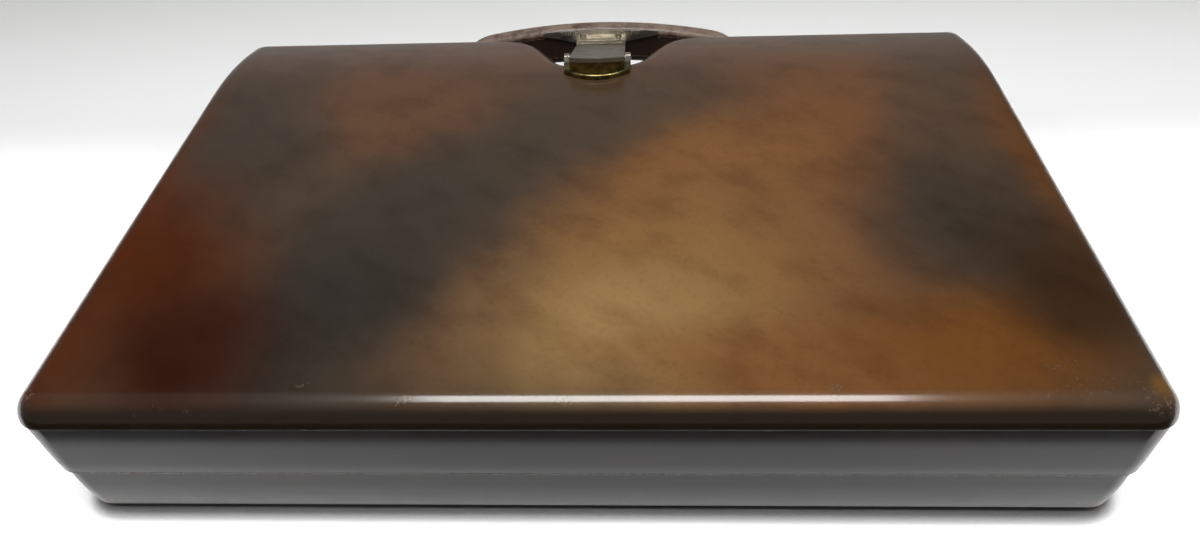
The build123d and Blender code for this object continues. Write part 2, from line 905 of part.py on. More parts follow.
parts = {
    "base_frame": base_frame,
    "base_board": base_board,
    "base_wall_leather": base_wall_leather,
    "base_bottom_leather": base_bottom_leather,
    "base_rim_leather": base_rim_leather,
    "base_wall_lining": base_wall_lining,
    "base_floor_lining": base_floor_lining,
    "hinge_leather_base": base_hinge_strip,
    "handle_leather_front": lambda: handle_half(handle_front, handle_middle, handle_front),
    "handle_leather_back": lambda: handle_half(handle_middle, handle_back, handle_back),
    "handle_core": handle_core,
    "handle_foot_plates": handle_foot_plates,
    "handle_backing_plates": handle_backing_plates,
    "handle_rivets": handle_rivets,
    "strike_plate": strike_plate,
    "strike_rivets": strike_rivets,
    "lid_frame": lid_frame,
    "lid_board": lid_board,
    "lid_face_leather": lid_face_leather,
    "lid_wall_leather": lid_wall_leather,
    "lid_rim_leather": lid_rim_leather,
    "lid_wall_lining": lid_wall_lining,
    "lid_roof_lining": lid_roof_lining,
    "hinge_leather_lid": lid_hinge_strip,
    "pocket_gusset": pocket_gusset,
    "pocket_panel": pocket_panel,
    "pocket_binding": pocket_binding,
    "pocket_rivets": pocket_rivets,
    "latch_body": latch_body,
    "latch_pin": latch_pin,
    "latch_spring": latch_spring,
    "latch_screws": latch_screws,
    "latch_backing_plate": latch_backing_plate,
    "latch_tongue": latch_tongue,
}

os.makedirs("parts", exist_ok=True)
for name, make in parts.items():
    export_step(make(), f"parts/{name}.step")
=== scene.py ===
"""Looks of a leather-covered clamshell briefcase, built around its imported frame.

The axes are the frame's: +X along the width, +Y towards the handle and the
latch, +Z up through the lid, the table at z = 0. Sizes and places on the case
are in millimetres, which MM turns into metres. The studio is in metres.
"""

import json
import logging
import math
from collections.abc import Iterator
from contextlib import contextmanager
from dataclasses import dataclass
from enum import Enum

import bpy
from mathutils import Matrix, Vector


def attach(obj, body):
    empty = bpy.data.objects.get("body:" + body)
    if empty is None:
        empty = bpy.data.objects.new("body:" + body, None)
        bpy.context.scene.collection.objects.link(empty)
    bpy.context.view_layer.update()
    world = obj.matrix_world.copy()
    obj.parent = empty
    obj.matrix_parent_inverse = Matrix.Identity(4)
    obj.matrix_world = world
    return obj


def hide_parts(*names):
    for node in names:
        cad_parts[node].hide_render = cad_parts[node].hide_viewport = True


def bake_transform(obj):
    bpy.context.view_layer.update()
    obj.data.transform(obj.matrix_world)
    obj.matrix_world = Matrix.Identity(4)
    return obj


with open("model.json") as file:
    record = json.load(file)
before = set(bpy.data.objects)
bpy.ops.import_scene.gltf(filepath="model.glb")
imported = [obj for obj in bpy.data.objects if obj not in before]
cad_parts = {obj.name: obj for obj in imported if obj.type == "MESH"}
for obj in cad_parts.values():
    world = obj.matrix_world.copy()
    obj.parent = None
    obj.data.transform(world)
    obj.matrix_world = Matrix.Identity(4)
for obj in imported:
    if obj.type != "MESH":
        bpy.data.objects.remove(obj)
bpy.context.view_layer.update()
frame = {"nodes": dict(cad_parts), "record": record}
SLOTS = {part["node"]: part["material_slot"] for part in frame["record"]["subparts"]}

log = logging.getLogger("briefcase")
MM = 0.001
Colour = tuple[float, float, float]
Point = tuple[float, float, float]
Span = tuple[float, float]
Socket = bpy.types.NodeSocket
Material = bpy.types.Material
Piece = bpy.types.Object


class Body(Enum):
    """Bodies of the frame that pieces ride on."""

    BASE = "base"
    LID = "lid"
    LATCH = "latch"


def in_metres(lengths: tuple[float, ...]) -> tuple[float, ...]:
    """Turns millimetres into metres."""
    return tuple(length * MM for length in lengths)


def dimmed(colour: Colour, share: float) -> Colour:
    """Returns a colour at a share of its brightness."""
    return tuple(share * channel for channel in colour)


@dataclass
class NodeSheet:
    """Node tree of a new material, with short calls for the nodes it needs."""

    name: str

    def __post_init__(self) -> None:
        """Starts the material, with the Object coordinates that its patterns read."""
        self.material = bpy.data.materials.new(self.name)
        self.material.use_nodes = True
        self.material.node_tree.nodes.clear()
        self.place = self.add("TexCoord", {}).outputs["Object"]

    def feed(self, target: Socket, value: object) -> None:
        """Links a socket to an input, or writes a plain value on it.

        Args:
            target: the input socket.
            value: an output socket, a number, a vector or a colour.
        """
        if isinstance(value, Socket):
            self.material.node_tree.links.new(value, target)
        elif target.type == "RGBA":
            target.default_value = (*value, 1.0)
        else:
            target.default_value = value

    def add(self, kind: str, inputs: dict, **settings: object) -> bpy.types.Node:
        """Adds a node.

        Args:
            kind: Blender's name of the node, after ShaderNode.
            inputs: values or sockets by the name or the number of an input.
            settings: properties to set on it.

        Returns:
            The new node.
        """
        node = self.material.node_tree.nodes.new(f"ShaderNode{kind}")
        for name, value in settings.items():
            setattr(node, name, value)
        for name, value in inputs.items():
            self.feed(node.inputs[name], value)
        return node

    def axis(self, name: str) -> Socket:
        """Returns the X, Y or Z coordinate."""
        return self.add("SeparateXYZ", {0: self.place}).outputs[name]

    def math(self, operation: str, *values: object) -> Socket:
        """Calculates with values, by Blender's name of the operation."""
        inputs = dict(enumerate(values))
        return self.add("Math", inputs, operation=operation).outputs["Value"]

    def times(self, first: object, second: object) -> Socket:
        """Multiplies two values."""
        return self.math("MULTIPLY", first, second)

    def vector(self, operation: str, *vectors: object) -> bpy.types.Node:
        """Calculates with vectors, by Blender's name of the operation."""
        return self.add("VectorMath", dict(enumerate(vectors)), operation=operation)

    def ramp(self, value: object, low: float, high: float) -> Socket:
        """Turns the range from low to high into 0 to 1, eased at both ends."""
        ends = {"Value": value, "From Min": low, "From Max": high}
        return self.add("MapRange", ends, interpolation_type="SMOOTHSTEP").outputs["Result"]

    def along(self, name: str, start: float, end: float) -> Socket:
        """Rises from 0 to 1 along one axis, between two places in millimetres."""
        return self.ramp(self.axis(name), start * MM, end * MM)

    def noise(self, vector: object, per_metre: float, detail: float, rough: float) -> Socket:
        """Adds noise of so many cells a unit, so many octaves and their weight."""
        inputs = {"Vector": vector, "Scale": per_metre, "Detail": detail, "Roughness": rough}
        return self.add("TexNoise", inputs).outputs["Fac"]

    def cells(self, vector: object, per_metre: float, feature: str = "F1") -> Socket:
        """Measures a feature of cells, of which there are so many a unit."""
        inputs = {"Vector": vector, "Scale": per_metre}
        return self.add("TexVoronoi", inputs, feature=feature).outputs["Distance"]

    def stretched(self, size: Point, turn: float = 0.0) -> Socket:
        """Returns the coordinates in units of a size, turned by degrees about Z."""
        return self.mapped(self.place, (0, 0, 0), turn, size)

    def mapped(self, vector: object, centre: Point, turn: float, size: Point) -> Socket:
        """Expresses coordinates about a centre, turned about Z and in units of a size.

        Args:
            vector: coordinates to change.
            centre: the new origin, in metres.
            turn: degrees about Z.
            size: length of one unit on each axis, in metres.

        Returns:
            The changed coordinates.
        """
        about_z = (0, 0, math.radians(turn))
        inputs = {"Vector": vector, "Location": centre, "Rotation": about_z, "Scale": size}
        return self.add("Mapping", inputs, vector_type="TEXTURE").outputs["Vector"]

    def mix(self, factor: object, first: object, second: object, way: str = "MIX") -> Socket:
        """Mixes two colours in a blend mode, by the share of the second."""
        inputs = {0: factor, 6: first, 7: second}
        return self.add("Mix", inputs, data_type="RGBA", blend_type=way).outputs[2]

    def tinted(self, colour: object, mask: object, tint: Colour) -> Socket:
        """Multiplies a colour by a tint where a mask is 1."""
        return self.mix(mask, colour, self.mix(1.0, colour, tint, "MULTIPLY"))

    def uneven(self, least: float) -> Socket:
        """Returns a roughness that wanders up from its least value."""
        return self.math("MULTIPLY_ADD", self.noise(self.place, 90.0, 4.0, 0.6), 0.2, least)

    def relief(self, *layers: tuple[object, float]) -> Socket:
        """Lays layers of relief over each other.

        Args:
            layers: heights from 0 to 1, each with its real depth in millimetres.

        Returns:
            The normal.
        """
        inputs = {}
        for height, depth in layers:
            inputs |= {"Height": height, "Distance": depth * MM}
            inputs["Normal"] = self.add("Bump", inputs).outputs["Normal"]
        return inputs["Normal"]

    def surface(self, **inputs: object) -> Material:
        """Adds the shader and ends the material.

        Args:
            inputs: values or sockets by the name of the shader's input.

        Returns:
            The material.
        """
        named = {name.replace("_", " "): value for name, value in inputs.items()}
        shader = self.add("BsdfPrincipled", named)
        self.add("OutputMaterial", {"Surface": shader.outputs["BSDF"]})
        return self.material


@dataclass(frozen=True)
class Spot:
    """A soft spot: place and half sizes in millimetres, turn in degrees."""

    place: Point
    reach: Point
    turn: float
    strength: float
    whole: float = 0.5

    def mask(self, s: NodeSheet, vector: object) -> Socket:
        """Fades the spot out from its middle.

        Args:
            s: node tree to add to.
            vector: coordinates.

        Returns:
            The spot, from 0 outside it to its strength.
        """
        inside = s.mapped(vector, in_metres(self.place), self.turn, in_metres(self.reach))
        node = s.add("TexGradient", {"Vector": inside}, gradient_type="SPHERICAL")
        return s.times(s.ramp(node.outputs["Fac"], 0.0, self.whole), self.strength)


@dataclass(frozen=True)
class Cloud:
    """A soft patch of colour that goes right through: place, half sizes, turn and colour; mostly
    dye, in places painted sheen.
    """

    place: Span
    reach: Span
    turn: float
    colour: Colour
    strength: float
    depth: float = 10000.0

    def spot(self) -> Spot:
        """Returns where the patch lies."""
        return Spot((*self.place, 0), (*self.reach, self.depth), self.turn, self.strength, 0.85)


def scuffed(s: NodeSheet, scuffs: tuple[Spot, ...], grain: float) -> Socket:
    """Joins scuffs into one mask and breaks it up.

    Args:
        s: node tree to add to.
        scuffs: the spots.
        grain: cells in a metre of the pattern that they show through.

    Returns:
        The mask.
    """
    whole = 0.0
    for spot in scuffs:
        whole = s.math("MAXIMUM", whole, spot.mask(s, s.place))
    threshold = s.math("SUBTRACT", 0.78, s.times(whole, 0.34))
    pattern = s.noise(s.place, grain, 5.0, 0.7)
    worn = s.math("DIVIDE", s.math("SUBTRACT", pattern, threshold), 0.10)
    worn.node.use_clamp = True
    return s.times(worn, s.ramp(whole, 0.02, 0.25))


@dataclass(frozen=True)
class Finish:
    """A finish, which builds the material of its name."""

    name: str

    def build(self) -> Material:
        """Builds the material."""
        raise NotImplementedError


@dataclass(frozen=True)
class FaceLeather(Finish):
    """Polished calf of the lid, dyed in clouds from black to amber, with painted sheen in its
    palest clouds and painted shade along its lower front rounding.
    """

    name: str = "face_leather"
    ground: Colour = (0.060, 0.036, 0.020)
    clouds: tuple[Cloud, ...] = (
        Cloud((0, 120), (330, 85), 0, (0.101, 0.049, 0.024), 0.9),
        Cloud((-105, 50), (85, 75), -15, (0.112, 0.047, 0.018), 0.75),
        Cloud((110, 30), (105, 110), -20, (0.135, 0.052, 0.013), 0.95),
        Cloud((45, -10), (100, 75), 40, (0.180, 0.077, 0.020), 0.9),
        Cloud((70, -75), (125, 95), 0, (0.135, 0.059, 0.020), 0.95),
        # The two palest amber clouds at the front middle are partly dye and partly painted sheen
        # of the overhead lamp.
        Cloud((30, -70), (105, 80), 15, (0.211, 0.106, 0.032), 0.8),
        Cloud((8, -98), (88, 62), 5, (0.261, 0.158, 0.059), 0.9),
        Cloud((-165, 25), (50, 105), 10, (0.041, 0.028, 0.019), 0.85),
        Cloud((-95, -80), (62, 105), -10, (0.026, 0.021, 0.016), 1.0),
        Cloud((-68, -15), (60, 85), -35, (0.037, 0.027, 0.019), 0.9),
        Cloud((-18, 28), (85, 52), 42, (0.047, 0.032, 0.019), 0.85),
        Cloud((30, 62), (85, 42), 22, (0.059, 0.036, 0.020), 0.75),
        Cloud((-45, -100), (34, 52), -20, (0.090, 0.045, 0.021), 0.5),
        Cloud((158, -40), (56, 95), 8, (0.034, 0.024, 0.016), 0.95),
        Cloud((172, 45), (44, 110), 0, (0.059, 0.036, 0.020), 0.7),
        Cloud((-182, -60), (62, 95), 22, (0.061, 0.013, 0.001), 1.0),
        Cloud((-206, -5), (26, 100), 0, (0.090, 0.018, 0.003), 0.7),
        Cloud((-150, -108), (62, 50), 0, (0.027, 0.005, 0.001), 0.9),
        Cloud((-206, -110), (26, 60), 0, (0.072, 0.016, 0.003), 0.75),
        Cloud((204, 10), (26, 110), 0, (0.104, 0.038, 0.008), 0.85),
        Cloud((90, -120), (105, 34), 0, (0.170, 0.068, 0.018), 0.8),
        Cloud((150, -112), (70, 42), 0, (0.125, 0.046, 0.008), 0.9),
        Cloud((188, -80), (42, 58), 0, (0.031, 0.013, 0.004), 0.85),
        Cloud((208, -136), (9, 10), 0, (0.180, 0.088, 0.018), 0.8),
    )
    wander: float = 45.0
    mottle_tint: Colour = (0.78, 0.74, 0.70)
    fleck_tint: Colour = (0.90, 0.88, 0.86)
    skirt_height: Span = (69.0, 66.0)
    skirt_near: Span = (-118.0, -134.0)
    skirt_side: Span = (208.5, 200.0)
    skirt_shade_tone: Colour = (0.016, 0.009, 0.004)
    scuffs: tuple[Spot, ...] = (
        Spot((-101, -127, 69), (4, 2, 5), 20, 0.8),
        Spot((-63, -133, 68), (5, 2.5, 5), 20, 0.9),
        Spot((-5, -133, 68), (5.5, 3, 5), -10, 1.0),
        Spot((90, -130, 69), (4, 5, 6), 20, 0.85),
        Spot((178, -128, 68), (34, 7, 8), 8, 0.6),
        Spot((199, -132, 66), (12, 10, 10), 0, 0.7),
        Spot((170, -119, 70), (16, 2, 5), 12, 0.7),
        Spot((-203, -131, 66), (8, 8, 8), 0, 0.7),
        Spot((-150, -136, 66), (26, 4, 4), 0, 0.5),
    )
    scuff_tone: Colour = (0.17, 0.11, 0.07)

    def dye(self, s: NodeSheet) -> Socket:
        """Mixes the clouds of dye and of painted sheen, whose edges wander.

        Args:
            s: node tree to add to.

        Returns:
            The colour.
        """
        far = self.wander * MM
        wander = s.noise(s.place, 14.0, 3.0, 0.6).node.outputs["Color"]
        shift = s.vector("MULTIPLY_ADD", wander, (far, far, 0.0), (-far / 2, -far / 2, 0.0))
        drifted = s.vector("ADD", s.place, shift.outputs["Vector"]).outputs["Vector"]
        dye = self.ground
        for cloud in self.clouds:
            dye = s.mix(cloud.spot().mask(s, drifted), dye, cloud.colour)
        return dye

    def build(self) -> Material:
        """Builds the material.

        Returns:
            The material.
        """
        s = NodeSheet(self.name)
        streak = s.stretched((0.6, 1.0, 1.0), turn=52.0)
        mottle = s.ramp(s.noise(streak, 30.0, 6.0, 0.6), 0.42, 0.70)
        fleck = s.ramp(s.noise(s.place, 420.0, 3.0, 0.6), 0.50, 0.72)
        dye = s.tinted(self.dye(s), mottle, self.mottle_tint)
        dye = s.tinted(dye, fleck, self.fleck_tint)
        # Painted shade: a dark band low on the front rounding, ending short of the right corner,
        # stands for its dark reflection.
        low = s.along("Z", *self.skirt_height)
        near = s.along("Y", *self.skirt_near)
        inside = s.along("X", *self.skirt_side)
        dye = s.mix(s.times(low, s.times(near, inside)), dye, self.skirt_shade_tone)
        rub = scuffed(s, self.scuffs, 700.0)
        dye = s.mix(rub, dye, self.scuff_tone)
        relief = s.relief(
            (s.ramp(s.cells(s.place, 1500.0), 0.05, 0.5), 0.02),
            (s.noise(s.place, 650.0, 4.0, 0.6), 0.05),
            (s.noise(s.place, 24.0, 2.0, 0.5), 0.6),
            (rub, 0.15),
        )
        dull = s.ramp(s.noise(s.place, 60.0, 5.0, 0.65), 0.2, 0.8)
        rough = s.math("MULTIPLY_ADD", dull, 0.14, 0.30)
        return s.surface(
            Base_Color=dye,
            Roughness=s.math("ADD", rough, s.times(rub, 0.3)),
            Specular_IOR_Level=0.1, Coat_Weight=0.8, Coat_Roughness=0.14, Coat_IOR=1.62,
            Normal=relief,
        )


@dataclass(frozen=True)
class WallLeather(Finish):
    """Near-black polished leather of the walls, worn brown at its edges."""

    name: str = "wall_leather"
    colour: Colour = (0.009, 0.006, 0.005)
    brown: Colour = (0.013, 0.008, 0.006)
    scuffs: tuple[Spot, ...] = (
        Spot((-178, -139, 30), (26, 6, 2.2), 0, 0.95),
        Spot((-120, -139, 30), (22, 6, 1.2), 0, 0.7),
        Spot((205, -136, 55), (8, 8, 5), 0, 0.8),
        Spot((-205, -136, 56), (8, 8, 6), 0, 0.8),
        Spot((-196, -135, 6), (14, 8, 4), 0, 0.75),
        Spot((196, -135, 6), (14, 8, 4), 0, 0.75),
        Spot((115, -139, 30), (30, 6, 1.0), 0, 0.7),
    )
    scuff_tone: Colour = (0.20, 0.075, 0.035)

    def build(self) -> Material:
        """Builds the material.

        Returns:
            The material.
        """
        s = NodeSheet(self.name)
        tone = s.noise(s.stretched((3.0, 3.0, 1.0)), 40.0, 4.0, 0.6)
        dye = s.mix(s.ramp(tone, 0.50, 0.75), self.colour, self.brown)
        rub = scuffed(s, self.scuffs, 520.0)
        lines = s.noise(s.stretched((12.0, 12.0, 1.0)), 260.0, 3.0, 0.5)
        return s.surface(
            Base_Color=s.mix(rub, dye, self.scuff_tone),
            Roughness=s.math("ADD", s.uneven(0.22), s.times(rub, 0.3)),
            Specular_IOR_Level=0.05, Coat_Weight=0.56, Coat_Roughness=0.12, Coat_IOR=1.5,
            Normal=s.relief(
                (lines, 0.03),
                (s.noise(s.place, 900.0, 3.0, 0.6), 0.02),
                (s.noise(s.place, 18.0, 2.0, 0.5), 0.5),
            ),
        )


@dataclass(frozen=True)
class PlainLeather(Finish):
    """Leather of one colour with grain, creases and wear."""

    colour: Colour
    worn: Colour
    wear: float = 0.3
    grain_depth: float = 0.12
    grain_per_metre: float = 520.0
    roughness: float = 0.38
    coat: float = 0.3
    coat_roughness: float = 0.18

    def build(self) -> Material:
        """Builds the material.

        Returns:
            The material.
        """
        s = NodeSheet(self.name)
        tone = s.ramp(s.noise(s.place, 22.0, 4.0, 0.6), 0.35, 0.7)
        dye = s.mix(tone, self.colour, dimmed(self.colour, 0.55))
        scuff = s.noise(s.stretched((3.0, 1.0, 1.0)), 160.0, 6.0, 0.7)
        rub = s.times(s.ramp(scuff, 0.56, 0.74), self.wear)
        cells = s.cells(s.place, self.grain_per_metre, "DISTANCE_TO_EDGE")
        return s.surface(
            Base_Color=s.mix(rub, dye, self.worn),
            Roughness=s.uneven(self.roughness - 0.1),
            Coat_Weight=self.coat, Coat_Roughness=self.coat_roughness,
            Normal=s.relief(
                (s.ramp(cells, 0.0, 0.25), self.grain_depth),
                (s.noise(s.place, 60.0, 3.0, 0.5), 0.5),
            ),
        )


@dataclass(frozen=True)
class HandleLeather(Finish):
    """Dark leather of the handle, rubbed to a pinkish brown over its crown."""

    name: str = "handle_leather"
    dark: Colour = (0.040, 0.019, 0.013)
    rubbed: Colour = (0.215, 0.150, 0.115)
    bow_centre: float = -264.0
    bow_radius: float = 328.0
    rub_depth: Span = (4.5, 1.5)

    def build(self) -> Material:
        """Builds the material.

        Returns:
            The material.
        """
        s = NodeSheet(self.name)
        centred = (0.0, 0.0, -self.bow_centre * MM)
        flat = s.vector("MULTIPLY_ADD", s.place, (1.0, 0.0, 1.0), centred)
        away = s.vector("LENGTH", flat.outputs["Vector"]).outputs["Value"]
        first, last = ((self.bow_radius - depth) * MM for depth in self.rub_depth)
        patchy = s.ramp(s.noise(s.place, 150.0, 5.0, 0.65), 0.25, 0.6)
        rub = s.times(s.ramp(away, first, last), patchy)
        tone = s.ramp(s.noise(s.place, 60.0, 4.0, 0.6), 0.35, 0.7)
        dark = s.mix(tone, self.dark, dimmed(self.dark, 0.6))
        cells = s.cells(s.place, 900.0, "DISTANCE_TO_EDGE")
        return s.surface(
            Base_Color=s.mix(rub, dark, self.rubbed),
            Roughness=s.uneven(0.34),
            Coat_Weight=0.2, Coat_Roughness=0.2,
            Normal=s.relief(
                (s.ramp(cells, 0.0, 0.25), 0.08),
                (s.noise(s.place, 90.0, 3.0, 0.5), 0.4),
            ),
        )


@dataclass(frozen=True)
class Metal(Finish):
    """Worn metal with fine scratches and tarnish."""

    bright: Colour
    tarnish: Colour
    share: float = 0.5
    roughness: float = 0.3

    def colour(self, s: NodeSheet, stain: object) -> Socket:
        """Returns the stained colour of the metal."""
        return s.mix(s.times(s.ramp(stain, 0.40, 0.68), self.share), self.bright, self.tarnish)

    def layers(self, s: NodeSheet) -> tuple[tuple[Socket, float], ...]:
        """Returns the layers of its relief."""
        lines = s.noise(s.stretched((0.04, 1.0, 1.0), turn=12.0), 260.0, 4.0, 0.7)
        return ((lines, 0.02), (s.noise(s.place, 900.0, 3.0, 0.6), 0.015))

    def build(self) -> Material:
        """Builds the material.

        Returns:
            The material.
        """
        s = NodeSheet(self.name)
        stain = s.noise(s.place, 180.0, 6.0, 0.65)
        return s.surface(
            Base_Color=self.colour(s, stain),
            Metallic=1.0,
            Roughness=s.math("MULTIPLY_ADD", stain, 0.25, self.roughness - 0.1),
            Normal=s.relief(*self.layers(s)),
        )


@dataclass(frozen=True)
class MilledMetal(Metal):
    """Metal with ticks along the milled bead at its front."""

    milled_front: float = 139.4
    tick_pitch: float = 1.3
    tick_depth: float = 0.16

    def layers(self, s: NodeSheet) -> tuple[tuple[Socket, float], ...]:
        """Returns the layers of its relief.

        Args:
            s: node tree to add to.

        Returns:
            The layers, with the ticks last.
        """
        turns = s.times(s.axis("X"), 2.0 * math.pi / (self.tick_pitch * MM))
        front = s.along("Y", self.milled_front + 0.1, self.milled_front - 0.1)
        ticks = s.times(s.math("SINE", turns), front)
        return (*super().layers(s), (ticks, self.tick_depth))


@dataclass(frozen=True)
class LatchBrass(Metal):
    """Brass whose two ears, beside the tongue, are paler."""

    ear_inside: float = 14.9
    ear_foot: float = 73.0
    ear_tone: Colour = (0.62, 0.58, 0.48)

    def colour(self, s: NodeSheet, stain: object) -> Socket:
        """Returns the stained colour of the metal, paler on the ears.

        Args:
            s: node tree to add to.
            stain: pattern of the tarnish.

        Returns:
            The colour.
        """
        aside = s.math("ABSOLUTE", s.axis("X"))
        ears = s.ramp(aside, (self.ear_inside - 0.2) * MM, (self.ear_inside + 0.2) * MM)
        above = s.along("Z", self.ear_foot - 0.3, self.ear_foot + 0.3)
        return s.mix(s.times(ears, above), super().colour(s, stain), self.ear_tone)


@dataclass(frozen=True)
class SuedeCloth(Finish):
    """Short-napped cloth of the lining."""

    colour: Colour
    fibre_tint: Colour = (0.75, 0.72, 0.7)

    def build(self) -> Material:
        """Builds the material.

        Returns:
            The material.
        """
        s = NodeSheet(self.name)
        nap = s.ramp(s.noise(s.place, 55.0, 5.0, 0.6), 0.3, 0.7)
        dye = s.mix(nap, dimmed(self.colour, 0.62), self.colour)
        fibre = s.noise(s.place, 1800.0, 3.0, 0.7)
        return s.surface(
            Base_Color=s.tinted(dye, s.ramp(fibre, 0.35, 0.7), self.fibre_tint),
            Roughness=0.92, Sheen_Weight=0.35, Sheen_Roughness=0.5,
            Normal=s.relief((fibre, 0.12)),
        )


@dataclass(frozen=True)
class Wood(Finish):
    """Pale plywood of the hidden frames."""

    colour: Colour

    def build(self) -> Material:
        """Builds the material.

        Returns:
            The material.
        """
        s = NodeSheet(self.name)
        rings = s.noise(s.stretched((10.0, 1.0, 1.0)), 120.0, 4.0, 0.6)
        dye = s.mix(s.ramp(rings, 0.35, 0.65), self.colour, dimmed(self.colour, 0.6))
        return s.surface(Base_Color=dye, Roughness=0.6, Normal=s.relief((rings, 0.1)))


FINISHES = (
    FaceLeather(),
    WallLeather(),
    HandleLeather(),
    PlainLeather("rim_leather", (0.050, 0.026, 0.014), (0.16, 0.075, 0.035), wear=0.6),
    PlainLeather(
        "bottom_leather", (0.030, 0.018, 0.012), (0.11, 0.065, 0.040), wear=0.5,
        grain_depth=0.25, grain_per_metre=420.0, roughness=0.5, coat=0.05,
    ),
    PlainLeather("hinge_leather", (0.035, 0.018, 0.011), (0.17, 0.075, 0.040), wear=0.6),
    PlainLeather(
        "pocket_leather", (0.200, 0.095, 0.042), (0.32, 0.18, 0.09), roughness=0.45, coat=0.1,
    ),
    # Near-black fold of the hinge: painted shade in the crease between the lid and the base.
    PlainLeather(
        "fold_leather_shade", (0.010, 0.007, 0.006), (0.050, 0.028, 0.018), wear=0.25,
        roughness=0.62, coat=0.0,
    ),
    # Pale leather of the bead under the face: partly a raw worn edge, partly painted glints in its
    # paler patches.
    PlainLeather(
        "worn_edge_glints", (0.115, 0.105, 0.095), (0.55, 0.50, 0.44), wear=0.5,
        roughness=0.42, coat=0.2,
    ),
    PlainLeather(
        "thread", (0.085, 0.045, 0.028), (0.17, 0.10, 0.065), grain_depth=0.05,
        grain_per_metre=3000.0, roughness=0.6, coat=0.05,
    ),
    SuedeCloth("lining", (0.30, 0.19, 0.105)),
    Wood("wood", (0.50, 0.34, 0.20)),
    Metal("steel", (0.50, 0.50, 0.49), (0.22, 0.20, 0.18)),
    Metal("nickel", (0.42, 0.39, 0.33), (0.24, 0.21, 0.16), roughness=0.46),
    MilledMetal("milled_nickel", (0.62, 0.58, 0.50), (0.34, 0.30, 0.23), roughness=0.38),
    LatchBrass("brass", (0.34, 0.28, 0.11), (0.06, 0.05, 0.018), share=0.85, roughness=0.26),
)


def coat(mesh: bpy.types.Mesh, material: Material) -> None:
    """Gives a mesh one finish all over."""
    mesh.materials.clear()
    mesh.materials.append(material)


def dress_nodes() -> dict[str, Material]:
    """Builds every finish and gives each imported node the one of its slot.

    Returns:
        The materials by name.
    """
    materials = {finish.name: finish.build() for finish in FINISHES}
    for node, slot in SLOTS.items():
        coat(frame["nodes"][node].data, materials[slot])
    return materials


def only(*objects: Piece) -> None:
    """Selects these objects alone and makes the first one active.

    Args:
        objects: objects to select.
    """
    bpy.ops.object.select_all(action="DESELECT")
    for thing in objects:
        thing.select_set(True)
    bpy.context.view_layer.objects.active = objects[0]


def put(name: str, data: bpy.types.ID) -> Piece:
    """Puts a new object into the scene.

    Args:
        name: its name.
        data: its mesh, light or camera.

    Returns:
        The object.
    """
    thing = bpy.data.objects.new(name, data)
    bpy.context.collection.objects.link(thing)
    return thing


@contextmanager
def editing(piece: Piece) -> Iterator[None]:
    """Opens one piece in edit mode, and closes it at the end.

    Args:
        piece: the piece.
    """
    only(piece)
    bpy.ops.object.mode_set(mode="EDIT")
    yield
    bpy.ops.object.mode_set(mode="OBJECT")


def work(piece: Piece, name: str, kind: str, **settings: object) -> None:
    """Works a modifier into the active piece.

    Args:
        piece: the piece.
        name: name of the modifier.
        kind: Blender's type name of the modifier.
        settings: properties to set on it.
    """
    modifier = piece.modifiers.new(name, kind)
    for key, value in settings.items():
        setattr(modifier, key, value)
    bpy.ops.object.modifier_apply(modifier=modifier.name)


def soften(piece: Piece, width: float, segments: int, from_angle: float) -> None:
    """Rounds a piece's edges.

    Args:
        piece: the piece, which is active.
        width: width of the rounding in millimetres.
        segments: its steps.
        from_angle: degrees from which an edge counts as one.
    """
    work(
        piece, "soft edges", "BEVEL", width=width * MM, segments=segments,
        limit_method="ANGLE", angle_limit=math.radians(from_angle),
    )


def merged_copy(node: str, name: str) -> Piece:
    """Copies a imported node, with its corners merged and its flats joined.

    Args:
        node: the node.
        name: name of the copy.

    Returns:
        The copy.
    """
    piece = put(name, frame["nodes"][node].data.copy())
    with editing(piece):
        bpy.ops.mesh.customdata_custom_splitnormals_clear()
        bpy.ops.mesh.select_all(action="SELECT")
        bpy.ops.mesh.remove_doubles(threshold=0.005 * MM)
        bpy.ops.mesh.dissolve_limited(angle_limit=math.radians(0.2), delimit={"NORMAL"})
        bpy.ops.mesh.select_all(action="DESELECT")
    return piece


def faces_out(normal: Vector, place: Vector) -> bool:
    """Tells whether a wall's normal points away from the middle of the case."""
    return normal.dot(Vector((place.x, place.y, 0.0))) > 0.0


